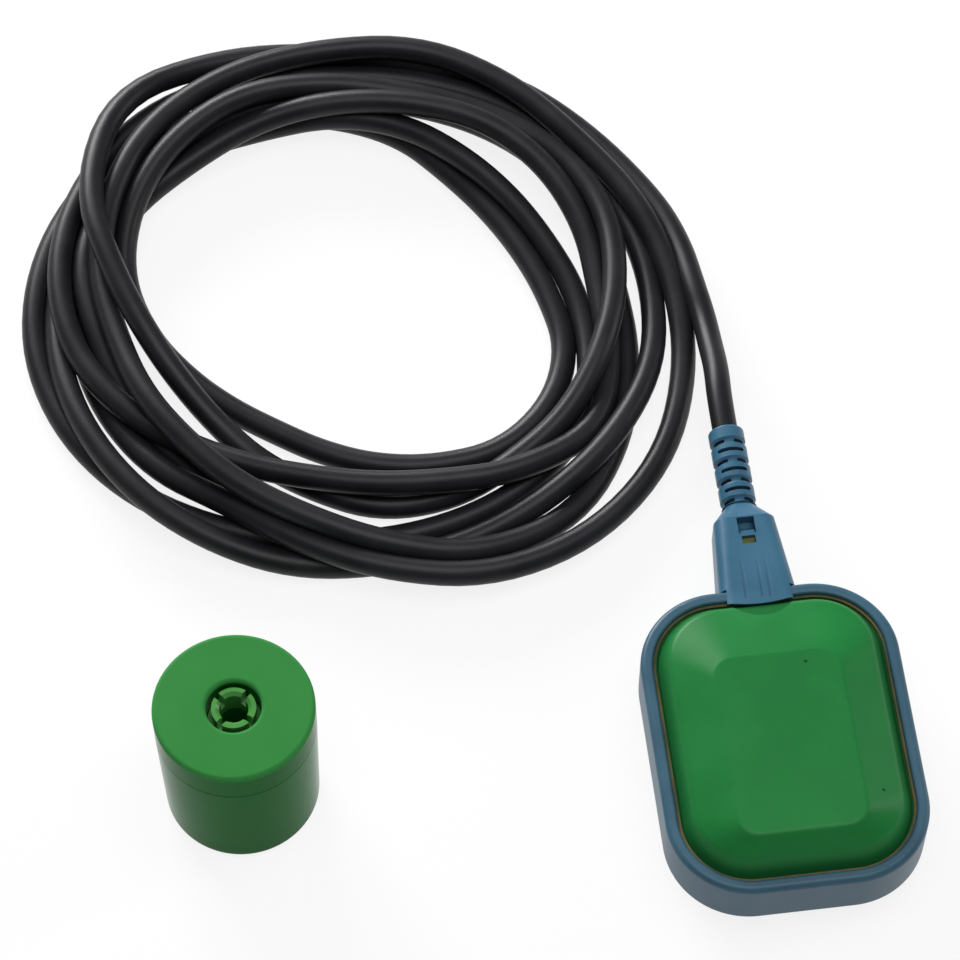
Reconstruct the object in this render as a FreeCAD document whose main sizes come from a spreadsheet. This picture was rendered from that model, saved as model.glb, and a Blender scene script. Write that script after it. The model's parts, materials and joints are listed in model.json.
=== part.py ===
import FreeCAD, Part
import math
import os
import Sketcher

V = FreeCAD.Vector

# Float level switch for a tank: a sealed pillow-shaped float with a steel ball and a microswitch inside,
# a rubber cable that leaves through a moulded strain relief, and the counterweight that slides on it.
# The float lies on its lower face, its neck towards +Y. Millimetres.

DRIVING = (
    ("float_width", 82, "across the rim"),
    ("float_length", 104, "along the rim"),
    ("float_thickness", 42, "from flat face to flat face"),
    ("corner_radius", 26, "outer corner of the rim"),
    ("shell_wall", 2.2, "wall of both shells"),
    ("pillow_wall", 7.2, "upright part of the pillow above the flange"),
    ("pillow_lean", 3.7, "how far that part leans in"),
    ("pillow_round", 3.5, "round at the top of the upright part"),
    ("panel_width", 40, "flat face of a shell, across"),
    ("panel_length", 61, "flat face of a shell, along"),
    ("panel_shift", 8, "flat face, off the float's middle and away from the neck"),
    ("panel_corner", 7, "corner of the flat face"),
    ("panel_round", 2.5, "round between the slope and the flat face"),
    ("post_diameter", 5, "posts that hold the inner capsule"),
    ("post_across", 14, "between the posts, across"),
    ("post_along", 38, "between the posts, along"),
    ("notch_radius", 11.5, "thumb notch in the pillow's end"),
    ("notch_reach", 8, "how far the notch cuts into the pillow"),
    ("rim_height", 20, "rim ring, through the float"),
    ("rim_lip", 4, "lip of the rim over the shells"),
    ("rim_wall", 2.4, "upright wall of the rim"),
    ("lip_thickness", 2.4, "lip of the rim, through"),
    ("rim_round", 1.9, "outer edges of the rim"),
    ("lip_round", 0.9, "inner edges of the lips"),
    ("gutter", 1.2, "between lip and pillow"),
    ("bead_width", 0.8, "sealant bead along the lip"),
    ("bead_height", 1.1, "sealant bead, proud of the flange"),
    ("fit_gap", 0.15, "between pieces that are fitted or glued"),
    ("running_gap", 0.3, "between pieces that move"),
    ("neck_length", 26.5, "from the rim to the shoulders"),
    ("root_width", 24.6, "neck at the rim, across"),
    ("saddle", 0.75, "tabs of the neck over the rim"),
    ("saddle_reach", 4.8, "how far the tabs lie over the rim"),
    ("saddle_bulge", 1.8, "how far the end of a tab bows out"),
    ("shoulder_width", 19.8, "neck at the shoulders, across"),
    ("shoulder_depth", 18.4, "neck at the shoulders, through"),
    ("neck_edge", 4.4, "long edges of the neck"),
    ("cone_length", 7.5, "from the shoulders to the strain relief"),
    ("relief_diameter", 11.7, "strain relief, outside"),
    ("relief_length", 29, "strain relief, along the cable"),
    ("relief_pitch", 7.35, "from ring to ring"),
    ("relief_foot", 1.2, "first notch above the cone"),
    ("notch_depth", 0.85, "notches between the rings"),
    ("notch_width", 2.8, "notches between the rings, at the outside"),
    ("notch_floor", 1.1, "notches between the rings, at the bottom"),
    ("relief_notches", 4, "notches along the strain relief"),
    ("relief_round", 0.8, "outer edge of the strain relief's end"),
    ("ring_round", 0.45, "outer edges of the strain relief's rings"),
    ("slot_height", 1.3, "slots through the strain relief"),
    ("long_slot", 8.4, "slots across front and back"),
    ("web_width", 3, "web between the short slots"),
    ("short_slot", 3.2, "short slots beside the web"),
    ("spigot_diameter", 14, "spigot of the neck through the rim"),
    ("spigot_length", 7, "spigot, from the rim's outer face inwards"),
    ("chamber_diameter", 11, "bore of the neck behind the cable"),
    ("chamber_end", 27, "end of that bore, from the rim"),
    ("window_width", 5.6, "latch window in the neck"),
    ("window_height", 6.2, "latch window, along the neck"),
    ("window_top", 26, "upper end of the window, from the rim"),
    ("window_bar", 0.9, "bar under the window"),
    ("inspection_width", 4.4, "slot below the bar, across"),
    ("inspection_height", 2.9, "slot below the bar, along the neck"),
    ("flute_width", 2.2, "round cutter of the flutes on the neck's front"),
    ("flute_depth", 0.45, "flutes, into the face at their lower ends"),
    ("flute_pitch", 2.6, "from flute to flute"),
    ("flute_start", -4.2, "lower end of the flutes, from the rim"),
    ("flute_length", 16.4, "flutes, along the neck"),
    ("flute_count", 4, "flutes, side by side"),
    ("cable_diameter", 8.4, "rubber cable, round"),
    ("jacket_end", 10, "where the cable's jacket is cut, from the rim"),
    ("core_diameter", 2.2, "insulated cores of the cable"),
    ("core_offset", 2.2, "cores from the cable's axis"),
    ("plug_length", 5, "rubber plug round the cores"),
    ("slot_fill", 1.6, "resin in the neck's slot, below the face"),
    ("hook_width", 4.8, "hook of the cable clamp"),
    ("hook_height", 4.6, "hook, along the neck"),
    ("hook_reach", 3.2, "hook, out of the clamp's ring"),
    ("hook_face", 1.2, "upright face at the hook's tip"),
    ("capsule_width", 24, "inner capsule, across"),
    ("capsule_length", 64, "inner capsule, along"),
    ("capsule_height", 28, "inner capsule, through"),
    ("capsule_end", 2.5, "end walls of the capsule"),
    ("capsule_roof", 2, "floor and roof of the capsule"),
    ("capsule_corner", 3, "upright edges of the capsule"),
    ("ball_diameter", 16, "steel ball"),
    ("ball_travel", 19, "roll of the ball"),
    ("lever_width", 10, "lever, across"),
    ("lever_thickness", 1.6, "lever, along the capsule"),
    ("lever_below", 5, "lever below the ball's centre"),
    ("pivot_height", 9, "lever's pin above the ball's centre"),
    ("pivot_place", 5, "lever's pin along the capsule"),
    ("boss_diameter", 5, "boss of the lever"),
    ("boss_length", 12, "boss of the lever, along the pin"),
    ("pin_diameter", 2, "lever's pin"),
    ("pin_length", 20, "lever's pin"),
    ("bay_width", 14, "bay of the capsule round the lever"),
    ("switch_place", 10.5, "front of the microswitch along the capsule"),
    ("switch_width", 6.4, "microswitch, across"),
    ("switch_depth", 10.2, "microswitch, along the capsule"),
    ("switch_height", 19.8, "microswitch, through the capsule"),
    ("switch_cover", 1.6, "cover of the microswitch"),
    ("plunger_diameter", 2.4, "plunger of the microswitch"),
    ("plunger_height", 5, "plunger above the ball's centre"),
    ("plunger_travel", 1.2, "plunger, stroke"),
    ("plunger_depth", 2, "plunger, into the microswitch at rest"),
    ("terminal_length", 4.3, "terminals of the microswitch"),
    ("terminal_width", 3, "terminals, wide"),
    ("terminal_thickness", 0.6, "terminals, thick"),
    ("terminal_pitch", 6, "from terminal to terminal"),
    ("weight_diameter", 50, "counterweight at its cap"),
    ("weight_foot", 48.4, "counterweight at its foot"),
    ("weight_height", 57, "counterweight, over all"),
    ("weight_wall", 2.2, "walls of the counterweight"),
    ("weight_floor", 3, "floor of the counterweight"),
    ("weight_round", 2.6, "lower edge of the counterweight"),
    ("cap_height", 11.5, "cap of the counterweight"),
    ("cap_plate", 2.6, "top of the cap"),
    ("cap_round", 1.4, "upper edge of the cap"),
    ("seam_gap", 0.35, "groove between cap and body"),
    ("skirt_height", 6, "skirt of the cap inside the body"),
    ("recess_diameter", 17, "recess in the cap"),
    ("collet_diameter", 13.8, "collet, outside"),
    ("collet_lead_in", 1.1, "chamfer at the mouth of the collet"),
    ("collet_flange", 1.6, "flange at the foot of the collet"),
    ("collet_depth", 1.1, "top of the collet below the cap's face"),
    ("collet_height", 9, "collet, over all"),
    ("collet_gap", 1.9, "gaps between the fingers"),
    ("collet_fingers", 4, "fingers of the collet"),
    ("collet_slit", 5.5, "gaps of the collet, deep"),
    ("ballast_height", 22, "cast-iron ring in the counterweight"),
    ("weight_x", -168.5, "counterweight beside the float, across"),
    ("weight_y", 17, "counterweight beside the float, along"),
    ("coil_x", -113, "centre of the coil's outer side"),
    ("coil_y", 186.5, "centre of the coil's outer side"),
    ("coil_radius", 118, "coil, outside"),
    ("coil_hole_x", -117, "centre of the coil's inner side"),
    ("coil_hole_y", 191, "centre of the coil's inner side"),
    ("coil_hole_radius", 60, "coil, inside"),
    ("coil_height", 25, "coil, through"),
    ("coil_round", 7, "edges of the coil"),
)

document = FreeCAD.newDocument("float_level_switch")
sheet = document.addObject("Spreadsheet::Sheet", "Dims")
for row, (alias, value, note) in enumerate(DRIVING, start=1):
    sheet.set(f"A{row}", note)
    sheet.set(f"B{row}", str(value))
    sheet.setAlias(f"B{row}", alias)
document.recompute()


class Size:
    """A size worked out from the sheet: its number, and the same formula as an expression."""

    def __init__(self, number, formula):
        self.number = number
        self.formula = formula

    def __float__(self):
        return float(self.number)

    def __add__(self, other):
        return combined(self, "+", other)

    def __radd__(self, other):
        return combined(other, "+", self)

    def __sub__(self, other):
        return combined(self, "-", other)

    def __rsub__(self, other):
        return combined(other, "-", self)

    def __mul__(self, other):
        return combined(self, "*", other)

    def __rmul__(self, other):
        return combined(other, "*", self)

    def __truediv__(self, other):
        return combined(self, "/", other)

    def __neg__(self):
        return combined(0, "-", self)


def as_size(value):
    return value if isinstance(value, Size) else Size(float(value), repr(float(value)))


def combined(left, sign, right):
    left = as_size(left)
    right = as_size(right)
    numbers = {
        "+": left.number + right.number,
        "-": left.number - right.number,
        "*": left.number * right.number,
        "/": left.number / right.number if right.number else 0.0,
    }
    return Size(numbers[sign], f"({left.formula} {sign} {right.formula})")


class Dimensions:
    """Reads the sheet: dims.float_width is a Size."""

    def __getattr__(self, alias):
        return Size(float(getattr(sheet, alias)), f"Dims.{alias}")


dims = Dimensions()


def bind(item, prop, size):
    item.setExpression(prop, as_size(size).formula)


# Sketches. Each is drawn about its own origin, and its place on the plane is bound to the sheet.


def new_body(label, place=(0, 0, 0), axis=V(0, 0, 1), turn=0):
    body = document.addObject("PartDesign::Body", label)
    body.Label = label
    body.Placement = FreeCAD.Placement(V(*(float(p) for p in place)), FreeCAD.Rotation(axis, turn))
    for letter, value in zip("xyz", place):
        if isinstance(value, Size):
            bind(body, f"Placement.Base.{letter}", value)
    return body


def new_sketch(body, name, plane="XY", across=0, along=0, above=0):
    sketch = body.newObject("Sketcher::SketchObject", name)
    role = f"{plane}_Plane"
    origin = [item for item in body.Origin.OriginFeatures if item.Role == role][0]
    sketch.AttachmentSupport = [(origin, "")]
    sketch.MapMode = "FlatFace"
    for letter, value in zip("xyz", (across, along, above)):
        bind(sketch, f"AttachmentOffset.Base.{letter}", value)
    return sketch


def rule(sketch, *parts):
    return sketch.addConstraint(Sketcher.Constraint(*parts))


def measured(sketch, name, size, *parts):
    """A constraint with a name, held to a size."""
    number = rule(sketch, *parts, float(size))
    sketch.renameConstraint(number, name)
    bind(sketch, f"Constraints.{name}", size)


def fix_point(sketch, tag, geometry, end, across, along):
    """Holds a point at its distances from the sketch's origin."""
    origin = (-1, 1)
    if isinstance(across, Size):
        measured(sketch, f"Across{tag}", across, "DistanceX", *origin, geometry, end)
    else:
        rule(sketch, "PointOnObject", geometry, end, -2)
    if isinstance(along, Size):
        measured(sketch, f"Along{tag}", along, "DistanceY", *origin, geometry, end)
    else:
        rule(sketch, "PointOnObject", geometry, end, -1)


def rounded_rectangle(sketch, width, length, corner):
    """A rectangle with round corners, centred on the sketch's origin."""
    x, y, r = float(width) / 2, float(length) / 2, float(corner)
    sides = (
        ((-x + r, y), (x - r, y)),
        ((x, y - r), (x, -y + r)),
        ((x - r, -y), (-x + r, -y)),
        ((-x, -y + r), (-x, y - r)),
    )
    corners = (
        ((x - r, y - r), 0),
        ((x - r, -y + r), 270),
        ((-x + r, -y + r), 180),
        ((-x + r, y - r), 90),
    )
    for start, end in sides:
        sketch.addGeometry(Part.LineSegment(V(*start, 0), V(*end, 0)))
    for centre, angle in corners:
        circle = Part.Circle(V(*centre, 0), V(0, 0, 1), r)
        sketch.addGeometry(Part.ArcOfCircle(circle, math.radians(angle), math.radians(angle + 90)))
    for side in range(4):
        rule(sketch, "Tangent", side, 2, 4 + side, 2)
        rule(sketch, "Tangent", 4 + side, 1, (side + 1) % 4, 1)
        rule(sketch, "Vertical" if side % 2 else "Horizontal", side)
    for arc in (4, 5, 6):
        rule(sketch, "Equal", arc, arc + 1)
    rule(sketch, "Symmetric", 0, 1, 2, 1, -1, 1)
    measured(sketch, "Width", width, "DistanceX", 3, 1, 1, 2)
    measured(sketch, "Length", length, "DistanceY", 2, 1, 0, 2)
    measured(sketch, "Corner", corner, "Radius", 4)


def rectangle(sketch, width, length):
    """A rectangle centred on the sketch's origin."""
    x, y = float(width) / 2, float(length) / 2
    points = ((-x, -y), (x, -y), (x, y), (-x, y))
    for number in range(4):
        start, end = points[number], points[(number + 1) % 4]
        sketch.addGeometry(Part.LineSegment(V(*start, 0), V(*end, 0)))
    for number in range(4):
        rule(sketch, "Coincident", number, 2, (number + 1) % 4, 1)
        rule(sketch, "Vertical" if number % 2 else "Horizontal", number)
    rule(sketch, "Symmetric", 0, 1, 2, 1, -1, 1)
    measured(sketch, "Width", width, "DistanceX", 0, 1, 0, 2)
    measured(sketch, "Length", length, "DistanceY", 1, 1, 1, 2)


def circle(sketch, diameter, across=0, along=0, tag=""):
    centre = V(float(across), float(along), 0)
    number = sketch.addGeometry(Part.Circle(centre, V(0, 0, 1), float(diameter) / 2))
    measured(sketch, f"Diameter{tag}", diameter, "Diameter", number)
    fix_point(sketch, tag, number, 3, across, along)


def outline(sketch, points):
    """A closed outline of straight sides; a plain 0 puts a point on the sketch's axis."""
    first = sketch.GeometryCount
    count = len(points)
    for number in range(count):
        start, end = points[number], points[(number + 1) % count]
        start_point = V(float(start[0]), float(start[1]), 0)
        end_point = V(float(end[0]), float(end[1]), 0)
        sketch.addGeometry(Part.LineSegment(start_point, end_point))
    for number in range(count):
        rule(sketch, "Coincident", first + number, 2, first + (number + 1) % count, 1)
    for number, (across, along) in enumerate(points):
        fix_point(sketch, f"P{first + number}", first + number, 1, across, along)


# Features of a body.


def pad(body, name, profile, length, symmetric=False, reverse=False):
    feature = body.newObject("PartDesign::Pad", name)
    feature.Profile = profile
    feature.SideType = "Symmetric" if symmetric else "One side"
    feature.Reversed = reverse
    bind(feature, "Length", length)
    return feature


def pocket(body, name, profile, depth=None, symmetric=False, reverse=False):
    """Cuts, and makes sure that it does; with no depth it goes right through both ways."""
    document.recompute()
    before = body.Shape.Volume
    feature = body.newObject("PartDesign::Pocket", name)
    feature.Profile = profile
    feature.Reversed = reverse
    feature.SideType = "Symmetric" if symmetric or depth is None else "One side"
    if depth is None:
        feature.Type = "ThroughAll"
    else:
        bind(feature, "Length", depth)
    document.recompute()
    check_cut(body, feature, before)
    return feature


def check_cut(body, feature, before):
    if not body.Shape.Volume < before - 1e-3:
        raise RuntimeError(f"{body.Label}: {feature.Name} cuts nothing")


def loft(body, name, profiles, cut=False):
    kind = "PartDesign::SubtractiveLoft" if cut else "PartDesign::AdditiveLoft"
    feature = body.newObject(kind, name)
    feature.Profile = profiles[0]
    feature.Sections = list(profiles[1:])
    feature.Ruled = True
    return feature


def turned(body, name, profile, cut=False):
    """Revolves a profile about the vertical axis of its sketch."""
    feature = body.newObject("PartDesign::Groove" if cut else "PartDesign::Revolution", name)
    feature.Profile = profile
    feature.ReferenceAxis = (profile, ["V_Axis"])
    feature.Angle = 360
    return feature


def row_of(body, name, original, axis, pitch, count):
    pattern = body.newObject("PartDesign::LinearPattern", name)
    pattern.Originals = [original]
    pattern.Direction = (original.Profile[0], [axis])
    pattern.Mode = "Spacing"
    bind(pattern, "Offset", pitch)
    bind(pattern, "Occurrences", count)
    body.Tip = pattern
    return pattern


def round_edges(body, name, wanted, radius):
    """Rounds the edges of the body's last shape for which wanted(edge) is true."""
    document.recompute()
    base = body.Tip
    edges = [f"Edge{n}" for n, edge in enumerate(base.Shape.Edges, start=1) if wanted(edge)]
    if not edges:
        raise RuntimeError(f"{body.Label}: {name} finds no edge")
    feature = body.newObject("PartDesign::Fillet", name)
    feature.Base = (base, edges)
    bind(feature, "Radius", radius)
    document.recompute()
    return feature


def lies_at(edge, height, reach=None, beyond=None):
    """True if an edge lies flat at a height; reach and beyond limit how far out its middle lies."""
    box = edge.BoundBox
    if abs(box.ZMin - float(height)) > 0.01 or abs(box.ZMax - float(height)) > 0.01:
        return False
    middle = edge.valueAt((edge.FirstParameter + edge.LastParameter) / 2)
    out = math.hypot(middle.x, middle.y)
    if reach is not None and out > float(reach):
        return False
    return beyond is None or out > float(beyond)


# Sizes that several pieces share.

mid_height = dims.float_thickness / 2
flange_height = dims.rim_height / 2 - dims.lip_thickness - dims.fit_gap
flange_inset = dims.rim_wall + dims.fit_gap
pillow_inset = dims.rim_lip + dims.gutter
pillow_top = flange_height + dims.pillow_wall
neck_start = dims.float_length / 2 + dims.fit_gap
cone_start = dims.neck_length
relief_start = dims.neck_length + dims.cone_length
relief_end = relief_start + dims.relief_length
neck_depth = dims.rim_height + 2 * dims.saddle
neck_slope = (neck_depth - dims.shoulder_depth) / 2 / dims.neck_length
cable_bore = dims.cable_diameter + 2 * dims.fit_gap
fill_diameter = dims.chamber_diameter - 2 * dims.fit_gap
window_foot = dims.window_top - dims.window_height
inspection_top = window_foot - dims.window_bar
capsule_half = dims.capsule_height / 2
race_diameter = dims.ball_diameter + 2 * dims.running_gap
race_start = -(dims.capsule_length / 2 - dims.capsule_end)
ball_start = race_start + dims.ball_diameter / 2 + dims.running_gap
switch_front = dims.switch_place
switch_back = dims.switch_place + dims.switch_depth
terminal_end = switch_back + dims.terminal_length
lever_front = dims.pivot_place - dims.lever_thickness / 2
lever_back = dims.pivot_place + dims.lever_thickness / 2
seam_height = dims.weight_height - dims.cap_height


def inset_outline(body, name, inset, above=0):
    """The rim's outline, moved inwards."""
    sketch = new_sketch(body, name, above=above)
    width = dims.float_width - 2 * inset
    length = dims.float_length - 2 * inset
    rounded_rectangle(sketch, width, length, dims.corner_radius - inset)
    return sketch


def panel_outline(body, name, above, inset):
    sketch = new_sketch(body, name, along=-dims.panel_shift, above=above)
    width = dims.panel_width - 2 * inset
    length = dims.panel_length - 2 * inset
    rounded_rectangle(sketch, width, length, dims.panel_corner - inset)
    return sketch


# The float.


def float_shell(label, turn):
    """One half of the float, drawn with its open side down; turn lays it the other way up."""
    body = new_body(label, (0, 0, mid_height), V(0, 1, 0), turn)
    top = mid_height
    wall = dims.shell_wall
    flange = inset_outline(body, "FlangeOutline", flange_inset)
    pad(body, "Flange", flange, flange_height)
    foot = inset_outline(body, "PillowFoot", pillow_inset, above=flange_height)
    shoulder = inset_outline(body, "PillowShoulder", pillow_inset + dims.pillow_lean, above=pillow_top)
    panel = panel_outline(body, "Panel", top, as_size(0))
    loft(body, "Pillow", (foot, shoulder, panel))
    round_edges(body, "PanelRound", lambda e: lies_at(e, top), dims.panel_round)
    round_edges(body, "ShoulderRound", lambda e: lies_at(e, pillow_top), dims.pillow_round)
    hollow = inset_outline(body, "HollowOutline", flange_inset + wall)
    pocket(body, "Hollow", hollow, flange_height - wall, reverse=True)
    inner_foot = inset_outline(body, "InnerFoot", pillow_inset + wall)
    inner_inset = pillow_inset + dims.pillow_lean + wall
    inner_shoulder = inset_outline(body, "InnerShoulder", inner_inset, above=pillow_top - wall)
    inner_panel = panel_outline(body, "InnerPanel", top - wall, wall / 2)
    loft(body, "InnerHollow", (inner_foot, inner_shoulder, inner_panel), cut=True)
    hole = new_sketch(body, "SpigotNotch", "XZ", above=-neck_start)
    circle(hole, dims.spigot_diameter + 2 * dims.fit_gap)
    pocket(body, "SpigotHole", hole, dims.spigot_length + dims.fit_gap, reverse=True)
    notch_place = dims.float_length / 2 - pillow_inset - dims.notch_reach + dims.notch_radius
    notch = new_sketch(body, "ThumbNotchOutline", along=notch_place, above=flange_height)
    circle(notch, 2 * dims.notch_radius)
    pocket(body, "ThumbNotch", notch, top - flange_height, reverse=True)
    for number in range(4):
        side = -0.5 if number % 2 else 0.5
        end = -0.5 if number // 2 else 0.5
        post = new_sketch(body, f"PostOutline{number + 1}", above=capsule_half,
                          across=side * dims.post_across, along=end * dims.post_along)
        circle(post, dims.post_diameter)
        pad(body, f"Post{number + 1}", post, top - wall / 2 - capsule_half)
    return body


def rim_ring():
    """The soft band that clamps both shells: a channel that runs all round."""
    body = new_body("rim_ring", (0, 0, mid_height))
    half = dims.rim_height / 2
    pad(body, "Band", inset_outline(body, "Outside", as_size(0)), dims.rim_height, symmetric=True)
    pocket(body, "Opening", inset_outline(body, "LipOutline", dims.rim_lip))
    channel = dims.rim_height - 2 * dims.lip_thickness
    pocket(body, "Channel", inset_outline(body, "ChannelOutline", dims.rim_wall), channel, symmetric=True)
    hole = new_sketch(body, "SpigotOutline", "XZ", above=-neck_start)
    circle(hole, dims.spigot_diameter + 2 * dims.fit_gap)
    pocket(body, "SpigotHole", hole, dims.spigot_length, reverse=True)
    round_edges(body, "OuterRound", lambda e: on_outline(e, 0, half), dims.rim_round)
    round_edges(body, "LipRound", lambda e: on_outline(e, dims.rim_lip, half), dims.lip_round)
    return body


def on_outline(edge, inset, height):
    """True if an edge lies at plus or minus a height on the rim's outline moved inwards."""
    box = edge.BoundBox
    flat = abs(box.ZMax - box.ZMin) < 0.01 and abs(abs(box.ZMax) - float(height)) < 0.01
    if not flat:
        return False
    middle = edge.valueAt((edge.FirstParameter + edge.LastParameter) / 2)
    return abs(outline_distance(middle) + float(inset)) < 0.05


def outline_distance(point):
    """How far a point lies outside the rim's outline, seen from above."""
    corner = float(dims.corner_radius)
    out_x = abs(point.x) - (float(dims.float_width) / 2 - corner)
    out_y = abs(point.y) - (float(dims.float_length) / 2 - corner)
    if out_x > 0 and out_y > 0:
        return math.hypot(out_x, out_y) - corner
    return max(out_x, out_y) - corner


def sealant_bead(label, turn):
    """A bead of sealant in the corner between a shell's flange and the rim's lip."""
    body = new_body(label, (0, 0, mid_height), V(0, 1, 0), turn)
    outside = inset_outline(body, "Outside", dims.rim_lip + dims.fit_gap / 2, above=flange_height)
    pad(body, "Bead", outside, dims.bead_height)
    inset = dims.rim_lip + dims.fit_gap / 2 + dims.bead_width
    pocket(body, "Opening", inset_outline(body, "Inside", inset))
    return body


# The neck, drawn standing on the rim with the cable's axis upright.

NECK_AXIS = V(1, 0, 0)
NECK_TURN = -90


def neck_body(label):
    return new_body(label, (0, neck_start, mid_height), NECK_AXIS, NECK_TURN)


def neck_section(body, name, width, depth, corner, above):
    sketch = new_sketch(body, name, above=above)
    rounded_rectangle(sketch, width, depth, corner)
    return sketch


def saddle_end(body):
    """What is cut off the tabs over the rim, seen from the front, so that each ends in a low bow."""
    sketch = new_sketch(body, "SaddleEnd", "XZ")
    reach = dims.saddle_reach
    bulge = dims.saddle_bulge
    deep = reach + 2 * bulge
    x, low, bow, foot = float(dims.root_width) / 2, -float(reach), float(bulge), -float(deep)
    sketch.addGeometry(Part.LineSegment(V(-x, low, 0), V(-x, foot, 0)))
    sketch.addGeometry(Part.LineSegment(V(-x, foot, 0), V(x, foot, 0)))
    sketch.addGeometry(Part.LineSegment(V(x, foot, 0), V(x, low, 0)))
    sketch.addGeometry(Part.Arc(V(-x, low, 0), V(0, low - bow, 0), V(x, low, 0)))
    rule(sketch, "Coincident", 0, 2, 1, 1)
    rule(sketch, "Coincident", 1, 2, 2, 1)
    rule(sketch, "Coincident", 2, 2, 3, 2)
    rule(sketch, "Coincident", 3, 1, 0, 1)
    rule(sketch, "Vertical", 0)
    rule(sketch, "Vertical", 2)
    rule(sketch, "Symmetric", 0, 2, 1, 2, -2)
    rule(sketch, "PointOnObject", 3, 3, -2)
    measured(sketch, "Width", dims.root_width, "DistanceX", 1, 1, 1, 2)
    measured(sketch, "Reach", reach, "DistanceY", 0, 1, -1, 1)
    measured(sketch, "Depth", deep, "DistanceY", 0, 2, -1, 1)
    radius = (dims.root_width * dims.root_width / 4 + bulge * bulge) / (2 * bulge)
    measured(sketch, "Bow", radius, "Radius", 3)
    return sketch


def neck_boot():
    """Neck, shoulders and strain relief in one moulding, with a saddle that straddles the rim."""
    body = neck_body("neck_boot")
    saddle_foot = -(dims.saddle_reach + dims.saddle_bulge)
    saddle = neck_section(body, "Saddle", dims.root_width, 2 * neck_front_at(saddle_foot),
                          dims.neck_edge, saddle_foot)
    root = neck_section(body, "Root", dims.root_width, neck_depth, dims.neck_edge, as_size(0))
    shoulder = neck_section(body, "Shoulder", dims.shoulder_width, dims.shoulder_depth,
                            dims.neck_edge, cone_start)
    loft(body, "Neck", (saddle, root, shoulder))
    base = neck_section(body, "ConeFoot", dims.shoulder_width, dims.shoulder_depth,
                        dims.neck_edge, cone_start)
    collar = dims.relief_diameter - 2 * dims.notch_depth
    tip = neck_section(body, "ConeTip", collar, collar, collar / 2 - dims.fit_gap, relief_start)
    loft(body, "Cone", (base, tip))
    tube = new_sketch(body, "ReliefOutline", above=relief_start)
    circle(tube, dims.relief_diameter)
    pad(body, "Relief", tube, dims.relief_length)
    pocket(body, "SaddleBow", saddle_end(body))
    slot_length = dims.saddle_reach + dims.saddle_bulge + dims.fit_gap
    slot = new_sketch(body, "RimSlot", "YZ", along=-slot_length / 2)
    rectangle(slot, dims.rim_height + 2 * dims.fit_gap, slot_length)
    pocket(body, "RimGap", slot)
    spigot = new_sketch(body, "SpigotOutline", above=-dims.spigot_length)
    circle(spigot, dims.spigot_diameter)
    pad(body, "Spigot", spigot, dims.spigot_length + dims.fit_gap)
    relief_notches(body)
    cut_window(body, "Window", dims.window_width, dims.window_height, window_foot)
    slot_foot = inspection_top - dims.inspection_height
    cut_window(body, "InspectionSlot", dims.inspection_width, dims.inspection_height, slot_foot)
    cut_flutes(body)
    chamber = new_sketch(body, "ChamberOutline", above=-dims.spigot_length)
    circle(chamber, dims.chamber_diameter)
    pocket(body, "Chamber", chamber, dims.spigot_length + dims.chamber_end, reverse=True)
    bore = new_sketch(body, "CableBoreOutline")
    circle(bore, cable_bore)
    pocket(body, "CableBore", bore)
    relief_slots(body)
    bore_edge = cable_bore / 2 + dims.fit_gap
    round_edges(body, "CollarRound", lambda e: lies_at(e, relief_end, beyond=bore_edge), dims.relief_round)
    return body


def relief_notches(body):
    """Notches that part the strain relief into rings."""
    height = relief_start + dims.relief_foot
    sketch = new_sketch(body, "NotchOutline", "XZ", along=height)
    outside = dims.relief_diameter / 2 + dims.fit_gap
    inside = dims.relief_diameter / 2 - dims.notch_depth
    wide = dims.notch_width / 2
    narrow = dims.notch_floor / 2
    outline(sketch, ((inside, -narrow), (outside, -wide), (outside, wide), (inside, narrow)))
    notch = turned(body, "RingNotch", sketch, cut=True)
    row_of(body, "RingNotches", notch, "V_Axis", dims.relief_pitch, dims.relief_notches)
    round_edges(body, "RingRound", is_ring_edge, dims.ring_round)


def is_ring_edge(edge):
    """True for the round edges of the strain relief's rings, but not for its end."""
    ring = edge.Curve
    if not isinstance(ring, Part.Circle) or abs(ring.Radius - float(dims.relief_diameter) / 2) > 0.01:
        return False
    return float(relief_start) + 0.01 < ring.Center.z < float(relief_end) - 0.01


def relief_slots(body):
    """Long slots front and back in each ring, and short slots beside a web in each notch."""
    first = relief_start + dims.relief_foot
    long = new_sketch(body, "LongSlotOutline", "XZ", along=first + dims.relief_pitch / 2)
    slot_end = dims.slot_height / 2 - dims.fit_gap
    rounded_rectangle(long, dims.long_slot, dims.slot_height, slot_end)
    cut = pocket(body, "LongSlot", long)
    row_of(body, "LongSlots", cut, "V_Axis", dims.relief_pitch, dims.relief_notches - 1)
    for side in (-1, 1):
        name = "Left" if side < 0 else "Right"
        across = side * (dims.web_width + dims.short_slot) / 2
        short = new_sketch(body, f"{name}SlotOutline", "XZ", across=across, along=first)
        rounded_rectangle(short, dims.short_slot, dims.slot_height, slot_end)
        cut = pocket(body, f"{name}Slot", short)
        row_of(body, f"{name}Slots", cut, "V_Axis", dims.relief_pitch, dims.relief_notches)


def cut_window(body, name, width, height, foot):
    """An opening in the front of the neck, into the chamber."""
    sketch = new_sketch(body, f"{name}Outline", "XZ", along=foot + height / 2, above=neck_depth / 2)
    rectangle(sketch, width, height)
    pocket(body, name, sketch, neck_depth / 2)


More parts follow.
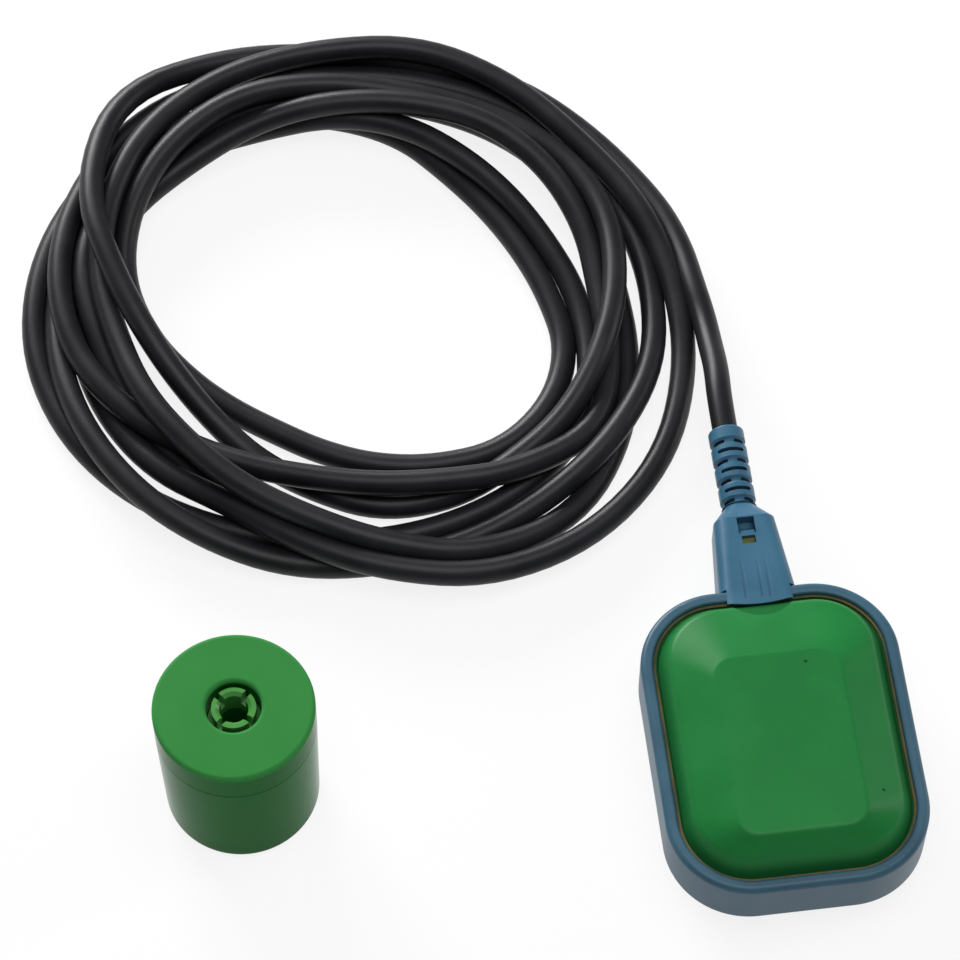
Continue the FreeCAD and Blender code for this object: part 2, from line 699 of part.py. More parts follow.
def cut_flutes(body):
    """Round flutes down the sloping front of the neck, which fade out towards their upper ends."""
    radius = dims.flute_width / 2
    first = (1 - dims.flute_count) / 2 * dims.flute_pitch
    front = neck_front_at(dims.flute_start) + radius - dims.flute_depth
    sketch = new_sketch(body, "FluteOutline", across=first, along=-front, above=dims.flute_start)
    sketch.AttachmentOffset = FreeCAD.Placement(sketch.AttachmentOffset.Base,
                                                FreeCAD.Rotation(V(1, 0, 0), 1))
    fade = neck_slope - dims.flute_depth / dims.flute_length
    sketch.setExpression("AttachmentOffset.Rotation.Angle", f"-atan({fade.formula})")
    circle(sketch, dims.flute_width)
    flute = pocket(body, "Flute", sketch, dims.flute_length, reverse=True)
    row_of(body, "Flutes", flute, "H_Axis", dims.flute_pitch, dims.flute_count)


def cable_clamp():
    """A sleeve round the cable whose hook snaps into the neck's window."""
    body = neck_body("cable_clamp")
    foot = window_foot - dims.fit_gap
    sleeve = new_sketch(body, "SleeveOutline", above=foot)
    circle(sleeve, fill_diameter)
    pad(body, "Sleeve", sleeve, dims.chamber_end - foot - dims.fit_gap)
    hook = new_sketch(body, "HookOutline", "YZ")
    inner = -(cable_bore / 2 + dims.fit_gap)
    low = window_foot + dims.fit_gap
    high = low + dims.hook_height
    tip = -(fill_diameter / 2 + dims.hook_reach)
    outline(hook, ((inner, low), (tip, low), (tip, low + dims.hook_face), (inner, high)))
    pad(body, "Hook", hook, dims.hook_width, symmetric=True)
    bore = new_sketch(body, "BoreOutline")
    circle(bore, cable_bore)
    pocket(body, "Bore", bore)
    return body


CORE_ANGLES = {"core_common": 90, "core_open": 210, "core_closed": 330}


def core_places():
    """Where the three cores lie round the cable's axis, in the neck's own frame."""
    places = {}
    for name, angle in CORE_ANGLES.items():
        across = dims.core_offset * round(math.cos(math.radians(angle)), 6)
        along = -dims.core_offset * round(math.sin(math.radians(angle)), 6)
        places[name] = (across, along)
    return places


def core_holes(body, name, foot, height):
    for number, (across, along) in enumerate(core_places().values(), start=1):
        sketch = new_sketch(body, f"{name}{number}Outline", across=across, along=along, above=foot)
        circle(sketch, dims.core_diameter + 2 * dims.fit_gap)
        pocket(body, f"{name}{number}", sketch, height, reverse=True)


def potting():
    """Resin that fills the neck round the end of the cable's jacket."""
    body = neck_body("potting")
    foot = dims.plug_length - dims.spigot_length
    top = window_foot - 2 * dims.fit_gap
    fill = new_sketch(body, "FillOutline", above=foot)
    circle(fill, fill_diameter)
    pad(body, "Fill", fill, top - foot)
    jacket = new_sketch(body, "JacketOutline", above=dims.jacket_end)
    circle(jacket, cable_bore)
    pocket(body, "Jacket", jacket, top - dims.jacket_end, reverse=True)
    core_holes(body, "Core", foot, dims.jacket_end - foot)
    width = dims.inspection_width - 2 * dims.fit_gap
    height = dims.inspection_height - 2 * dims.fit_gap
    along = inspection_top - dims.inspection_height / 2
    inside = cable_bore / 2 + dims.fit_gap
    reach = neck_front_at(along) - dims.slot_fill - inside
    slot = new_sketch(body, "SlotFillOutline", "XZ", along=along, above=inside)
    rectangle(slot, width, height)
    pad(body, "SlotFill", slot, reach)
    return body


def neck_front_at(along):
    """How far the neck's sloping front lies from the cable's axis, at a distance from the rim."""
    return neck_depth / 2 - neck_slope * along


def core_plug():
    """A rubber plug that closes the spigot round the three cores."""
    body = neck_body("core_plug")
    disc = new_sketch(body, "DiscOutline", above=-dims.spigot_length)
    circle(disc, fill_diameter)
    pad(body, "Disc", disc, dims.plug_length)
    core_holes(body, "Core", -dims.spigot_length, dims.plug_length)
    return body


def cable_entry():
    """The cable inside the neck, from its cut end to the end of the strain relief."""
    body = neck_body("cable_entry")
    sketch = new_sketch(body, "Round", above=dims.jacket_end)
    circle(sketch, dims.cable_diameter)
    pad(body, "Cable", sketch, relief_end - dims.jacket_end)
    return body


# Cores and cable: straight runs joined by tangent arcs, each with this share of its shorter run.

ARC_SHARE = 0.45


def rounded_path(points):
    """A wire along the points, each corner an arc as large as its shorter run allows."""
    edges = []
    radii = []
    here = points[0]
    for before, corner, after in zip(points, points[1:], points[2:]):
        into = corner - before
        out = after - corner
        turn = into.getAngle(out)
        reach = ARC_SHARE * min(into.Length, out.Length)
        radius = reach / math.tan(turn / 2)
        radii.append(radius)
        into.normalize()
        out.normalize()
        start = corner - into * reach
        end = corner + out * reach
        half = (out - into).normalize()
        middle = corner + half * (radius / math.cos(turn / 2) - radius)
        edges.append(Part.LineSegment(here, start).toShape())
        edges.append(Part.Arc(start, middle, end).toShape())
        here = end
    edges.append(Part.LineSegment(here, points[-1]).toShape())
    return Part.Wire(edges), radii


def rod_along(label, points, diameter):
    """A round rod along the points; its volume must be its section times its length."""
    path, radii = rounded_path(points)
    start = points[0]
    direction = (points[1] - start).normalize()
    section = Part.Wire([Part.makeCircle(diameter / 2, start, direction)])
    shape = path.makePipeShell([section], True, False)
    wanted = math.pi * diameter ** 2 / 4 * path.Length
    if abs(shape.Volume - wanted) > 0.01 * wanted:
        raise RuntimeError(f"{label}: volume {shape.Volume:.0f}, expected {wanted:.0f}")
    feature = document.addObject("Part::Feature", label)
    feature.Label = label
    feature.Shape = shape.Solids[0] if shape.Solids else shape
    feature.Placement = FreeCAD.Placement()
    print(label, "length", round(path.Length, 1), "radii", [round(radius, 1) for radius in radii])
    return feature


def core(label, terminal):
    """One insulated core from the cable's cut end to its terminal."""
    across, down = core_places()[label]
    height = mid_height - down
    start = neck_start + dims.jacket_end
    bend = neck_start - dims.spigot_length - dims.core_diameter
    terminal_height = mid_height + terminal * dims.terminal_pitch
    near = dims.capsule_length / 2 + dims.core_diameter
    route = (
        V(float(across), float(start), float(height)),
        V(float(across), float(bend), float(height)),
        V(0, float(near), float(terminal_height)),
        V(0, float(terminal_end), float(terminal_height)),
    )
    return rod_along(label, route, float(dims.core_diameter))


LEAD_ROUTE = ((0, 128.2, 21), (1.1, 141.2, 18.7), (1.1, 153.8, 14.4), (-1.4, 166, 12), (-4.8, 177.8, 11.8))


def cable_lead():
    """The free cable from the strain relief down to the coil."""
    route = [V(0, float(neck_start + relief_end), float(mid_height))]
    route += [V(*point) for point in LEAD_ROUTE]
    return rod_along("cable_lead", route, float(dims.cable_diameter))


def cable_coil():
    """The coil's outer shape, flat on the floor."""
    body = new_body("cable_coil")
    sketch = new_sketch(body, "CoilOutline")
    circle(sketch, 2 * dims.coil_radius, dims.coil_x, dims.coil_y, "Outer")
    pad(body, "Turns", sketch, dims.coil_height)
    hole = new_sketch(body, "HoleOutline")
    circle(hole, 2 * dims.coil_hole_radius, dims.coil_hole_x, dims.coil_hole_y, "Inner")
    pocket(body, "Hole", hole)
    round_edges(body, "Round", lambda e: lies_at(e, 0) or lies_at(e, dims.coil_height), dims.coil_round)
    return body


# The inner capsule and the mechanism.


def capsule_half_shell(label, turn, pin):
    """One half of the capsule: race for the ball, bays for the lever, the microswitch and its wires."""
    body = new_body(label, (0, 0, mid_height), V(0, 1, 0), turn)
    block = new_sketch(body, "Outside")
    rounded_rectangle(block, dims.capsule_width, dims.capsule_length, dims.capsule_corner)
    pad(body, "Block", block, capsule_half)
    race_end = lever_front
    race = new_sketch(body, "RaceOutline", "XZ", above=-race_end)
    circle(race, race_diameter)
    pocket(body, "Race", race, race_end - race_start, reverse=True)
    bay_start = dims.pivot_place - dims.boss_diameter / 2 - dims.running_gap
    bay_depth = capsule_half - dims.capsule_roof
    bay(body, "LeverBay", dims.bay_width, bay_start, switch_front - bay_start, bay_depth)
    bay(body, "SwitchBay", dims.switch_width + 2 * dims.fit_gap, switch_front - dims.fit_gap,
        dims.switch_depth + 2 * dims.fit_gap, dims.switch_height / 2)
    wiring = dims.capsule_length / 2 - dims.capsule_end - switch_back
    wiring_depth = dims.terminal_pitch + dims.core_diameter
    bay(body, "WiringBay", dims.bay_width, switch_back, wiring, wiring_depth)
    exit_width = dims.core_diameter + 2 * dims.running_gap
    bay(body, "WireExit", exit_width, switch_back, dims.capsule_length / 2, wiring_depth)
    if pin:
        hole = new_sketch(body, "PinHoleOutline", "YZ", across=dims.pivot_place, along=dims.pivot_height)
        circle(hole, dims.pin_diameter + dims.fit_gap)
        pocket(body, "PinHole", hole, dims.pin_length + 2 * dims.fit_gap, symmetric=True)
    return body


def bay(body, name, width, start, length, depth):
    """A rectangular hollow cut from the parting plane upwards."""
    sketch = new_sketch(body, f"{name}Outline", along=start + length / 2)
    rectangle(sketch, width, length)
    pocket(body, name, sketch, depth, reverse=True)


def steel_ball():
    ball = document.addObject("Part::Sphere", "steel_ball")
    ball.Label = "steel_ball"
    bind(ball, "Radius", dims.ball_diameter / 2)
    bind(ball, "Placement.Base.y", ball_start)
    bind(ball, "Placement.Base.z", mid_height)
    return ball


def switch_lever():
    """A plate that hangs from its pin in front of the microswitch."""
    body = new_body("switch_lever", (0, dims.pivot_place, mid_height + dims.pivot_height))
    plate_length = dims.pivot_height + dims.lever_below
    plate = new_sketch(body, "PlateOutline", "XZ", along=-plate_length / 2)
    rectangle(plate, dims.lever_width, plate_length)
    pad(body, "Plate", plate, dims.lever_thickness, symmetric=True)
    boss = new_sketch(body, "BossOutline", "YZ")
    circle(boss, dims.boss_diameter)
    pad(body, "Boss", boss, dims.boss_length, symmetric=True)
    hole = new_sketch(body, "HoleOutline", "YZ")
    circle(hole, dims.pin_diameter + 2 * dims.fit_gap)
    pocket(body, "Hole", hole)
    return body


def lever_pin():
    pin = document.addObject("Part::Cylinder", "lever_pin")
    pin.Label = "lever_pin"
    pin.Placement = FreeCAD.Placement(V(0, 0, 0), FreeCAD.Rotation(V(0, 1, 0), 90))
    bind(pin, "Radius", dims.pin_diameter / 2)
    bind(pin, "Height", dims.pin_length)
    bind(pin, "Placement.Base.x", -dims.pin_length / 2)
    bind(pin, "Placement.Base.y", dims.pivot_place)
    bind(pin, "Placement.Base.z", mid_height + dims.pivot_height)
    return pin


def microswitch_case():
    """The microswitch without its cover, with the plunger's bore."""
    width = dims.switch_width - dims.switch_cover
    body = new_body("microswitch_case", (-dims.switch_cover / 2, switch_front, mid_height))
    block = new_sketch(body, "Outside", along=dims.switch_depth / 2)
    rectangle(block, width, dims.switch_depth)
    pad(body, "Block", block, dims.switch_height, symmetric=True)
    bore = new_sketch(body, "BoreOutline", "XZ", across=dims.switch_cover / 2, along=dims.plunger_height)
    circle(bore, dims.plunger_diameter + 2 * dims.running_gap)
    depth = dims.plunger_depth + dims.plunger_travel + dims.running_gap
    pocket(body, "PlungerBore", bore, depth)
    return body


def microswitch_cover():
    width = dims.switch_cover
    across = dims.switch_width / 2 - width / 2
    body = new_body("microswitch_cover", (across, switch_front, mid_height))
    block = new_sketch(body, "Outside", along=dims.switch_depth / 2)
    rectangle(block, width, dims.switch_depth)
    pad(body, "Block", block, dims.switch_height, symmetric=True)
    return body


def switch_plunger():
    plunger = document.addObject("Part::Cylinder", "switch_plunger")
    plunger.Label = "switch_plunger"
    tip = lever_back + dims.running_gap
    plunger.Placement = FreeCAD.Placement(V(0, 0, 0), FreeCAD.Rotation(V(1, 0, 0), -90))
    bind(plunger, "Radius", dims.plunger_diameter / 2)
    bind(plunger, "Height", switch_front + dims.plunger_depth - tip)
    bind(plunger, "Placement.Base.y", tip)
    bind(plunger, "Placement.Base.z", mid_height + dims.plunger_height)
    return plunger


def terminal(label, place):
    tab = document.addObject("Part::Box", label)
    tab.Label = label
    bind(tab, "Length", dims.terminal_thickness)
    bind(tab, "Width", dims.terminal_length)
    bind(tab, "Height", dims.terminal_width)
    bind(tab, "Placement.Base.x", -dims.terminal_thickness / 2)
    bind(tab, "Placement.Base.y", switch_back)
    bind(tab, "Placement.Base.z", mid_height + place * dims.terminal_pitch - dims.terminal_width / 2)
    return tab


# The counterweight, standing on its foot.

tube_bore = dims.cable_diameter + 2 * dims.running_gap
tube_diameter = tube_bore + 2 * dims.weight_wall


def weight_body(label, above=0, turn=0):
    return new_body(label, (dims.weight_x, dims.weight_y, as_size(above)), turn=turn)


def lathe(body, name, points, cut=False):
    sketch = new_sketch(body, f"{name}Outline", "XZ")
    outline(sketch, points)
    return turned(body, name, sketch, cut)


def counterweight_body():
    """A cup with a tube up its middle for the cable."""
    body = weight_body("counterweight_body")
    foot = dims.weight_foot / 2
    lip = dims.weight_diameter / 2
    wall = dims.weight_wall
    floor = dims.weight_floor
    bore = tube_bore / 2
    tube = tube_diameter / 2
    tube_top = dims.weight_height - dims.collet_depth - dims.collet_height
    top = seam_height - dims.seam_gap
    none = as_size(0)
    lathe(body, "Cup", (
        (bore, none), (foot, none), (lip, top), (lip - wall, top), (foot - wall, floor),
        (tube, floor), (tube, tube_top), (bore, tube_top),
    ))
    round_edges(body, "FootRound", lambda e: lies_at(e, 0, beyond=foot - wall), dims.weight_round)
    return body


def counterweight_ballast():
    """A cast-iron ring on the floor of the cup."""
    body = weight_body("counterweight_ballast")
    low = dims.weight_floor
    high = low + dims.ballast_height
    inner = tube_diameter / 2 + dims.fit_gap
    outer = dims.weight_foot / 2 - dims.weight_wall - dims.fit_gap
    lathe(body, "Ring", ((inner, low), (outer, low), (outer, high), (inner, high)))
    return body


def counterweight_cap():
    """The cap: a plate with a skirt inside the cup and a recess for the collet."""
    body = weight_body("counterweight_cap")
    top = dims.weight_height
    lip = dims.weight_diameter / 2
    wall = dims.weight_wall
    skirt = lip - wall - dims.fit_gap
    under = top - dims.cap_plate
    recess = dims.recess_diameter / 2
    sleeve_low = dims.weight_height - dims.collet_depth - dims.collet_height
    lathe(body, "Cap", (
        (lip, seam_height), (lip, top), (recess, top), (recess, under), (recess, sleeve_low),
        (recess + wall, sleeve_low), (recess + wall, under), (skirt - wall, under),
        (skirt - wall, seam_height - dims.skirt_height), (skirt, seam_height - dims.skirt_height),
        (skirt, seam_height),
    ))
    round_edges(body, "TopRound", lambda e: lies_at(e, top), dims.cap_round)
    return body


COLLET_TURN = 45


def counterweight_collet():
    """The split collet that grips the cable, in the cap's recess on top of the cup's tube."""
    foot = dims.weight_height - dims.collet_depth - dims.collet_height
    body = weight_body("counterweight_collet", foot, COLLET_TURN)
    inner = tube_bore / 2
    outer = dims.collet_diameter / 2
    high = dims.collet_height
    flange = dims.recess_diameter / 2 - dims.fit_gap
    step = dims.collet_flange
    lead_in = dims.collet_lead_in
    none = as_size(0)
    lathe(body, "Sleeve", (
        (inner, none), (flange, none), (flange, step), (outer, step), (outer, high),
        (inner + lead_in, high), (inner, high - lead_in),
    ))
    gap = new_sketch(body, "GapOutline", above=high)
    rectangle(gap, dims.collet_gap, 2 * dims.collet_diameter)
    cut = pocket(body, "Gap", gap, dims.collet_slit)
    pattern = body.newObject("PartDesign::PolarPattern", "Fingers")
    axis = [item for item in body.Origin.OriginFeatures if item.Role == "Z_Axis"][0]
    pattern.Originals = [cut]
    pattern.Axis = (axis, [""])
    pattern.Mode = "Extent"
    pattern.Angle = 180
    bind(pattern, "Occurrences", dims.collet_fingers / 2 + 1)
    body.Tip = pattern
    return body


UPRIGHT = 0
OVER = 180

parts = [
    float_shell("float_shell_upper", UPRIGHT),
    float_shell("float_shell_lower", OVER),
    rim_ring(),
    sealant_bead("sealant_bead_upper", UPRIGHT),
    sealant_bead("sealant_bead_lower", OVER),
    neck_boot(),
    cable_clamp(),
    potting(),
    core_plug(),
    cable_entry(),
    core("core_common", 1),
    core("core_open", 0),
    core("core_closed", -1),
    cable_lead(),
    cable_coil(),
    capsule_half_shell("capsule_base", OVER, pin=False),
    capsule_half_shell("capsule_cover", UPRIGHT, pin=True),
    steel_ball(),
    switch_lever(),
    lever_pin(),
    microswitch_case(),
    microswitch_cover(),
    switch_plunger(),
    terminal("terminal_common", 1),
    terminal("terminal_open", 0),
    terminal("terminal_closed", -1),
    counterweight_body(),
    counterweight_ballast(),
    counterweight_cap(),
    counterweight_collet(),
]

document.recompute()
failed = [item.Name for item in document.Objects if {"Invalid", "Error"} & set(item.State)]
if failed:
    raise RuntimeError(f"failed features: {failed}")
os.makedirs("parts", exist_ok=True)
for part in parts:
    if part.Shape.isNull() or not part.Shape.isValid():
        raise RuntimeError(f"{part.Label} has no valid shape")
for part in parts:
    part.Shape.exportStep(f"parts/{part.Label}.step")
    print(part.Label, len(part.Shape.Solids), round(part.Shape.Volume))
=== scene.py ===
import json
import math

import bpy
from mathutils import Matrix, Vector


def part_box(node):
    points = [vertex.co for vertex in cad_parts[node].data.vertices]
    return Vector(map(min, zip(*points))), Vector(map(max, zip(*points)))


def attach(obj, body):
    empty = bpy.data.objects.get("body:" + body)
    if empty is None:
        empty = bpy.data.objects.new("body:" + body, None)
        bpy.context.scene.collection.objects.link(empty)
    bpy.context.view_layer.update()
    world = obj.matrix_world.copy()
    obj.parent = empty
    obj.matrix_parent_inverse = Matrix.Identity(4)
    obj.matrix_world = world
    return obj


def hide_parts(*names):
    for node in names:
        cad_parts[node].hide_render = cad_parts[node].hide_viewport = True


# Float level switch: the float lies on the floor with its neck towards +Y, its rubber cable runs
# into a loose coil behind it, and the counterweight stands to the left. Lengths are in metres,
# unless a comment says mm.

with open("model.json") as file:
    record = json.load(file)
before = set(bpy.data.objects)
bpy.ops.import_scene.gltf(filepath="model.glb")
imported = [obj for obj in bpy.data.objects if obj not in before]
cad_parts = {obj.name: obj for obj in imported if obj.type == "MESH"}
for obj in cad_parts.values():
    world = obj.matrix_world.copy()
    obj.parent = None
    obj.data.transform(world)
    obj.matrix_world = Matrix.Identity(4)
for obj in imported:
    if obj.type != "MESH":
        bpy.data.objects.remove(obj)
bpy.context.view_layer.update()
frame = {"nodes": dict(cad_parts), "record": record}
nodes = frame["nodes"]
MM = 0.001


# Camera, lamps and floor.

LOOK_AT = Vector((-0.0804, 0.1193, 0.0))
HEADING = math.radians(7)
ELEVATION = math.radians(60)
DISTANCE = 1.294
FIELD_OF_VIEW = math.radians(14)
# Each lamp: its place from the spot that the camera looks at, its width, its height and its watts.
LAMPS = {
    "back_light": ((-0.4, 1.1, 0.5), 0.7, 0.4, 21),
    "top_light": ((0.1, -0.15, 1.6), 1.2, 0.8, 13.5),
    "right_light": ((1.3, 0.2, 0.45), 0.3, 0.9, 4),
}
FLOOR_SIZE = 12
FLOOR_WHITE = 0.9
FLOOR_ROUGHNESS = 0.9
# How much of the floor glows white by itself; the rest takes the shadows.
FLOOR_GLOW = 0.85
ROOM_LIGHT = 0.2


def place_camera():
    lens = bpy.data.cameras.new("camera")
    lens.angle = FIELD_OF_VIEW
    lens.clip_start = 0.05
    lens.clip_end = 20
    camera = bpy.data.objects.new("camera", lens)
    bpy.context.scene.collection.objects.link(camera)
    level = math.cos(ELEVATION)
    forward = Vector((math.sin(HEADING) * level, math.cos(HEADING) * level, -math.sin(ELEVATION)))
    camera.location = LOOK_AT - forward * DISTANCE
    camera.rotation_euler = forward.to_track_quat("-Z", "Y").to_euler()
    bpy.context.scene.camera = camera


def place_lamp(name, offset, width, height, power):
    """A rectangular lamp that points at that spot."""
    lamp = bpy.data.lights.new(name, "AREA")
    lamp.shape = "RECTANGLE"
    lamp.size = width
    lamp.size_y = height
    lamp.energy = power
    box = bpy.data.objects.new(name, lamp)
    bpy.context.scene.collection.objects.link(box)
    box.location = LOOK_AT + Vector(offset)
    box.rotation_euler = (-Vector(offset)).to_track_quat("-Z", "Y").to_euler()


def stage():
    """A white floor that keeps a soft shadow, and a white room."""
    bpy.ops.mesh.primitive_plane_add(size=FLOOR_SIZE, location=(LOOK_AT.x, LOOK_AT.y, 0))
    floor = bpy.context.object
    floor.name = "floor"
    finish = Finish("floor_white", (FLOOR_WHITE, FLOOR_WHITE, FLOOR_WHITE), FLOOR_ROUGHNESS)
    path = finish.node("LightPath")
    seen = path + path.part("Is Glossy Ray") + path.part("Is Transmission Ray")
    matt = Value(finish, finish.shader.outputs["BSDF"])
    glow = finish.node("Emission")
    finish.surface(finish.node("MixShader", None, {0: seen * FLOOR_GLOW, 1: matt, 2: glow}))
    dress(floor, finish)
    world = bpy.data.worlds.new("room")
    world.use_nodes = True
    bpy.context.scene.world = world
    sky = world.node_tree.nodes["Background"]
    sky.inputs["Color"].default_value = (1, 1, 1, 1)
    sky.inputs["Strength"].default_value = ROOM_LIGHT


# Materials. Value stands for a shader socket, so that shader maths reads as plain sums.

# How much the roughness varies over a piece.
WEAR = 0.1
# How far the fine grain rises, and how rough its noise is.
GRAIN_RISE = 0.2 * MM
NOISE_ROUGHNESS = 0.55
# The patches of moulded plastic go from dark to light between these two levels of their noise.
PATCH_DARK = 0.3
PATCH_LIGHT = 0.7
# The pieces inside: how fine their patches are in sizes per metre, and how dark the darkest is.
INNER_PATCH = 90
INNER_DARKEST = 0.85
# Moulded plastic and rubber: dark and light shade, roughness, specular level, how fine the patches
# and the grain are in sizes per metre, and the grain's strength.
MOULDED = {
    "float_green": ((0.0115, 0.159, 0.035), (0.014, 0.18, 0.04), 0.36, 0.13, 38, 900, 0.1),
    "rim_blue": ((0.031, 0.09, 0.138), (0.04, 0.11, 0.162), 0.4, 0.28, 55, 1400, 0.2),
    "neck_blue": ((0.031, 0.108, 0.178), (0.041, 0.13, 0.21), 0.36, 0.3, 70, 1600, 0.2),
    "weight_green": ((0.035, 0.215, 0.048), (0.041, 0.232, 0.054), 0.42, 0.03, 25, 2500, 0.05),
    # collet_green: its own yellow-green, made lighter as a painted highlight.
    "collet_green": ((0.055, 0.25, 0.05), (0.075, 0.29, 0.06), 0.22, 0.5, 90, 2500, 0.05),
    "cable_rubber": ((0.0085, 0.0085, 0.0105), (0.015, 0.015, 0.018), 0.4, 0.22, 45, 2200, 0.25),
    "sealant": ((0.035, 0.05, 0.016), (0.13, 0.095, 0.022), 0.5, 0.3, 60, 700, 0.4),
    # resin: its own olive, made lighter as painted light where it lies in shadow.
    "resin": ((0.07, 0.1, 0.03), (0.19, 0.18, 0.04), 0.2, 0.4, 260, 600, 0.3),
}
# The pieces inside: colour, roughness, how fine the grain is in sizes per metre, its strength, and
# how metallic they are.
PLAIN = {
    "plug_rubber": ((0.012, 0.012, 0.012), 0.7, 1800, 0.4, 0),
    "core_black": ((0.01, 0.01, 0.01), 0.4, 1500, 0.2, 0),
    "core_grey": ((0.2, 0.21, 0.23), 0.4, 1500, 0.2, 0),
    "core_brown": ((0.09, 0.035, 0.014), 0.4, 1500, 0.2, 0),
    "capsule_white": ((0.62, 0.62, 0.56), 0.45, 1200, 0.2, 0),
    "ball_steel": ((0.55, 0.55, 0.56), 0.12, 2500, 0.05, 1),
    "pin_steel": ((0.5, 0.5, 0.51), 0.28, 2500, 0.15, 1),
    "lever_red": ((0.35, 0.025, 0.015), 0.4, 1500, 0.2, 0),
    "switch_black": ((0.013, 0.013, 0.014), 0.5, 2000, 0.3, 0),
    "terminal_brass": ((0.62, 0.42, 0.14), 0.28, 2500, 0.15, 1),
    "ballast_iron": ((0.05, 0.047, 0.043), 0.65, 500, 0.8, 0.6),
}
# The float's middle. A painted shade darkens the shells in the gutter beside the rim, between two
# heights off it.
MID_HEIGHT = 21 * MM
GUTTER_SHADE_FLOOR = 8.5 * MM
GUTTER_SHADE_MOUTH = 13.5 * MM
GUTTER_PAINTED_SHADE = (0.0105, 0.108, 0.028)
# Dark specks that the ejector pins left on the shells: x, y and radius in mm. Each is at its
# darkest up to a share of its radius.
PIN_SPECKS = ((9, 18.5, 0.65), (26, -26.5, 0.65))
SPECK_CORE = 0.6
SPECK_GREEN = (0.004, 0.035, 0.014)
# The counterweight's side is more polished than its top, and a painted shade makes it a deeper
# green. The change lies between two depths below the top.
SIDE_PAINTED_SHADE = (0.004, 0.125, 0.015)
SIDE_ROUGHNESS = 0.16
TOP_ROUGHNESS = 0.44
SIDE_DEPTH = 2.5 * MM
TOP_DEPTH = 0.5 * MM


class Value:
    """A socket; an operator on it adds the Math node that works it out."""

    def __init__(self, finish, socket):
        self.finish = finish
        self.socket = socket

    def _math(self, operation, left, right):
        return self.finish.node("Math", {"operation": operation}, {0: left, 1: right})

    def __add__(self, other):
        return self._math("ADD", self, other)

    def __radd__(self, other):
        return self._math("ADD", other, self)

    def __sub__(self, other):
        return self._math("SUBTRACT", self, other)

    def __mul__(self, other):
        return self._math("MULTIPLY", self, other)

    def __rmul__(self, other):
        return self._math("MULTIPLY", other, self)

    def __abs__(self):
        return self.finish.node("Math", {"operation": "ABSOLUTE"}, {0: self})

    def part(self, name):
        """Another output of the same node."""
        return Value(self.finish, self.socket.node.outputs[name])


class Finish:
    """A material on one Principled shader, with methods for the nodes that vary it."""

    def __init__(self, name, colour, roughness, **uniform):
        self.material = bpy.data.materials.new(name)
        self.material.use_nodes = True
        self.tree = self.material.node_tree
        self.shader = self.tree.nodes["Principled BSDF"]
        self.set(Base_Color=(*colour, 1), Roughness=roughness, **uniform)
        self.place = self.node("TexCoord").part("Object")

    def node(self, kind, settings=None, inputs=None):
        """A new node with its settings and inputs; gives its first output as a Value."""
        item = self.tree.nodes.new(f"ShaderNode{kind}")
        for name, setting in (settings or {}).items():
            setattr(item, name, setting)
        for name, value in (inputs or {}).items():
            self._feed(item.inputs[name], value)
        return Value(self, next(output for output in item.outputs if output.enabled))

    def _feed(self, socket, value):
        if isinstance(value, Value):
            self.tree.links.new(value.socket, socket)
        else:
            socket.default_value = value

    def set(self, **inputs):
        """Feeds inputs of the Principled shader; an underscore stands for a space."""
        for name, value in inputs.items():
            self._feed(self.shader.inputs[name.replace("_", " ")], value)

    def surface(self, shader):
        """Puts another shader on the surface."""
        self._feed(self.tree.nodes["Material Output"].inputs["Surface"], shader)

    def noise(self, scale, detail):
        """Noise from 0 to 1 with its grain in sizes per metre."""
        inputs = {"Vector": self.place, "Scale": scale, "Detail": detail,
                  "Roughness": NOISE_ROUGHNESS}
        return self.node("TexNoise", {"noise_dimensions": "3D"}, inputs)

    def steps(self, value, low, high):
        """0 below low, 1 above high, smooth between."""
        inputs = {"Value": value, "From Min": low, "From Max": high}
        return self.node("MapRange", {"interpolation_type": "SMOOTHSTEP"}, inputs)

    def mix(self, share, first, second):
        """A colour between two colours, each a Value or red, green and blue."""
        inputs = {"Factor": share}
        # The Mix node's two colour inputs share their names with others, so they go by number.
        for number, colour in ((6, first), (7, second)):
            inputs[number] = colour if isinstance(colour, Value) else (*colour, 1)
        return self.node("Mix", {"data_type": "RGBA"}, inputs)

    def grain(self, scale, detail, strength):
        """Raises the surface by a fine noise."""
        inputs = {"Height": self.noise(scale, detail), "Strength": strength, "Distance": GRAIN_RISE}
        self.set(Normal=self.node("Bump", None, inputs))

    def coordinates(self):
        """The place's X, Y and Z."""
        first = self.node("SeparateXYZ", None, {"Vector": self.place})
        return first, first.part("Y"), first.part("Z")


def dress(piece, finish):
    """Gives a piece one material."""
    piece.data.materials.clear()
    piece.data.materials.append(finish.material)


def worn(roughness, mottle):
    """A roughness that varies with the mottle."""
    return roughness - WEAR / 2 + WEAR * mottle


def moulded(name, dark, light, roughness, gloss, patch, grain, bump):
    """Moulded plastic or rubber: soft patches between two shades and a fine grain."""
    middle = tuple((low + high) / 2 for low, high in zip(dark, light))
    finish = Finish(name, middle, roughness, Specular_IOR_Level=gloss)
    mottle = finish.noise(patch, 4)
    finish.shade = finish.mix(finish.steps(mottle, PATCH_DARK, PATCH_LIGHT), dark, light)
    finish.set(Base_Color=finish.shade, Roughness=worn(roughness, mottle))
    finish.grain(grain, 2, bump)
    return finish


def plain(name, colour, roughness, grain, bump, metallic):
    """A finish for the pieces inside: its colour, slightly uneven, with a fine grain."""
    finish = Finish(name, colour, roughness, Metallic=metallic)
    mottle = finish.noise(INNER_PATCH, 4)
    darker = tuple(INNER_DARKEST * part for part in colour)
    finish.set(Base_Color=finish.mix(mottle, darker, colour), Roughness=worn(roughness, mottle))
    finish.grain(grain, 3, bump)
    return finish


